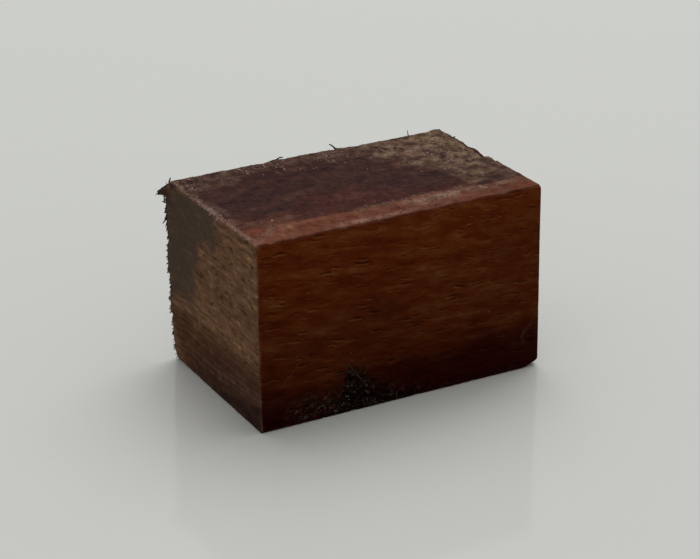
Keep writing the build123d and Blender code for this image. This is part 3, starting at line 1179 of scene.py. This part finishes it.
@dataclass
class Sawdust:
    """Crumbs of sawdust on the top and its arrises, and grey grit on the dirty foot of the front."""

    wood: tuple[Sprinkle, ...] = (
        Sprinkle((BACK_RIGHT_DUST,), 240, (0.30, 1.40), (0.0, 0.36), 21, (0.25, 0.7), 1.2),
        Sprinkle((BRAN_CORNER,), 60, (0.40, 1.80), (0.05, 0.42), 22, (0.25, 0.7), 1.2),
        Sprinkle((BACK_LEFT_DUST, BACK_DUST), 500, (0.28, 1.30), (0.0, 0.66), 23, (0.2, 0.7), 1.2),
        Sprinkle((Stroke(Face.TOP, ((0.5, 0), (0.5, 50)), 1.4),), 90, (0.30, 1.10), (0.2, 0.7), 24, clear=0.0),
        Sprinkle(DUST_LINES, 360, (0.28, 1.20), (0.0, 0.6), 25, (0.25, 0.7), 1.2, 0.5),
        Sprinkle(
            (Patch(Face.TOP, ((-1, 11), (64, 9.5), (62, 23), (54, 34), (48, 44), (44, 52), (-1, 52))),),
            420, (0.30, 1.30), (-0.5, 0.15), 26, (0.2, 0.55), 0.8,
        ),
        Sprinkle((Patch(Face.FRONT, ((-1, 6), (82, 6), (82, 51), (-1, 51))),), 14, (0.20, 0.36), (0.0, 0.3), 27),
        Sprinkle((Patch(Face.LEFT, ((-1, 4), (51, 4), (51, 51), (-1, 51))),), 40, (0.20, 0.50), (0.0, 0.6), 28),
    )
    grit: tuple[Sprinkle, ...] = (
        Sprinkle(
            (Patch(Face.FRONT, ((9, 0.5), (10, 4.5), (17, 6), (24, 8), (27, 12), (30, 7), (41, 1.5), (40, 0.5))),),
            190, (0.45, 1.70), (-0.2, 0.45), 31, (0.15, 0.4), clear=0.4,
        ),
        Sprinkle(
            (Patch(Face.FRONT, ((10, 0.5), (13, 4), (24, 5), (38, 2), (38, 0.5))),),
            14, (0.35, 0.9), (0.2, 0.6), 33, (0.2, 0.6),
        ),
    )

    def build(self, skin: Skin) -> None:
        """Makes the sawdust and the grit.

        Args:
            skin: The block's skin, which they lie on.
        """
        crumbs = LooseWood("hardwood_sawdust", ("#4a3833", "#826b61", "#aa9388"))
        grey = LooseWood("grey_workshop_grit", ("#1e1713", "#4f473e", "#9b968a"))
        for name, sprinkles, finish in (("sawdust", self.wood, crumbs), ("grit", self.grit, grey)):
            bm = bmesh.new()
            bm.verts.layers.float.new(TONE)
            for sprinkle in sprinkles:
                sprinkle.scatter(bm, skin)
            show(name, bm, finish.make())


@dataclass(frozen=True)
class Viewpoint:
    """Where the camera stands, fitted to the corners of the block. Lengths are in millimetres.

    Attributes:
        azimuth: Degrees round the block from its front.
        elevation: Degrees above the floor.
        roll: Degrees that the picture is turned.
        distance: From the middle of the block.
        aside: How far the camera stands to its own right of that line.
        above: The same upwards.
        aim_height: Height of the middle of the block.
        focal_px: Focal length in pixels of the picture.
        picture_width_px: Width of the picture.
        sensor_width: Width of the camera's sensor.
        nearest: Nothing nearer than this is drawn.
    """

    azimuth: float = -28.609
    elevation: float = 23.171
    roll: float = -0.331
    distance: float = 565.709
    aside: float = -1.194
    above: float = -1.428
    aim_height: float = 25.0
    focal_px: float = 2190.196
    picture_width_px: int = 700
    sensor_width: float = 36.0
    nearest: float = 10.0

    def place(self) -> None:
        """Makes the camera and lets the scene use it."""
        data = bpy.data.cameras.new("camera")
        data.sensor_fit = "HORIZONTAL"
        data.sensor_width = self.sensor_width
        data.lens = self.sensor_width * self.focal_px / self.picture_width_px
        data.clip_start = self.nearest * MM
        camera = into_scene("camera", data)
        turn = (
            Matrix.Rotation(math.radians(self.azimuth), 4, "Z")
            @ Matrix.Rotation(math.radians(90 - self.elevation), 4, "X")
            @ Matrix.Rotation(math.radians(self.roll), 4, "Z")
        )
        stand = turn @ Vector((self.aside, self.above, self.distance)) + Vector((0, 0, self.aim_height))
        camera.matrix_world = Matrix.Translation(stand * MM) @ turn
        bpy.context.scene.camera = camera


@dataclass(frozen=True)
class Studio:
    """A pale, slightly glossy floor under one large soft lamp and an even surround. Lengths are in metres.

    Attributes:
        floor_side: Side of the square floor.
        floor_colour: Colour of the floor.
        floor_roughness: How blurred the floor mirrors the block.
        floor_gloss: How much of the block it mirrors.
        lamp_side: Side of the square lamp.
        lamp_stand: Where the lamp hangs.
        lamp_power: Its power in watts.
        surround: Brightness of the even light from all round.
        backdrop_colour: Colour that the camera and mirrors see beyond the floor.
    """

    floor_side: float = 12.0
    floor_colour: str = "#cecfca"
    floor_roughness: float = 0.10
    floor_gloss: float = 0.22
    lamp_side: float = 2.6
    lamp_stand: Place = (0.9, 0.92, 2.5)
    lamp_power: float = 50.0
    surround: float = 0.5
    backdrop_colour: str = "#c8ccca"

    def build(self) -> None:
        """Sets the floor, the lamp and the surround."""
        bm = bmesh.new()
        bmesh.ops.create_grid(bm, x_segments=1, y_segments=1, size=self.floor_side / 2)
        mesh = bpy.data.meshes.new("floor")
        bm.to_mesh(mesh)
        bm.free()
        mesh.materials.append(self.floor_finish())
        into_scene("floor", mesh)
        data = bpy.data.lights.new("overhead", "AREA")
        data.size = self.lamp_side
        data.energy = self.lamp_power
        lamp = into_scene("overhead", data)
        lamp.location = self.lamp_stand
        lamp.rotation_euler = (-Vector(self.lamp_stand)).to_track_quat("-Z", "Y").to_euler()
        self.surround_light()

    def floor_finish(self) -> bpy.types.Material:
        """Makes a plain pale laminate that mirrors the block faintly."""
        material, tree = blank("pale_laminate")
        shader = add(
            tree,
            "BsdfPrincipled",
            {"Base Color": self.floor_colour, "Roughness": self.floor_roughness,
             "Specular IOR Level": self.floor_gloss},
        )
        add(tree, "OutputMaterial", {"Surface": shader})
        return material

    def surround_light(self) -> None:
        """Lights evenly from all round, and shows a pale backdrop to the camera and to mirrors."""
        world = bpy.data.worlds.new("surround")
        bpy.context.scene.world = world
        world.use_nodes = True
        tree = world.node_tree
        tree.nodes.clear()
        even = add(tree, "Background", {"Color": "#ffffff", "Strength": self.surround})
        pale = add(tree, "Background", {"Color": self.backdrop_colour, "Strength": 1.0})
        seen = add(tree, "LightPath", out="Is Camera Ray")
        paths = seen.node.outputs
        seen = add(tree, "Math", {0: seen, 1: paths["Is Glossy Ray"]}, operation="MAXIMUM")
        seen = add(tree, "Math", {0: seen, 1: paths["Is Transmission Ray"]}, operation="MAXIMUM")
        light = add(tree, "MixShader", {0: seen, 1: even, 2: pale})
        add(tree, "OutputWorld", {"Surface": light})


def main() -> None:
    """Builds the block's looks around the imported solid."""
    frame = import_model()
    logging.basicConfig(level=logging.INFO, format="%(name)s: %(message)s")
    bpy.context.scene.view_settings.view_transform = "Standard"
    Viewpoint().place()
    Studio().build()
    skin = BlockSkin().build(frame["nodes"][NODE])
    TornFibres().build(skin)
    Sawdust().build(skin)


if __name__ == "__main__":
    main()
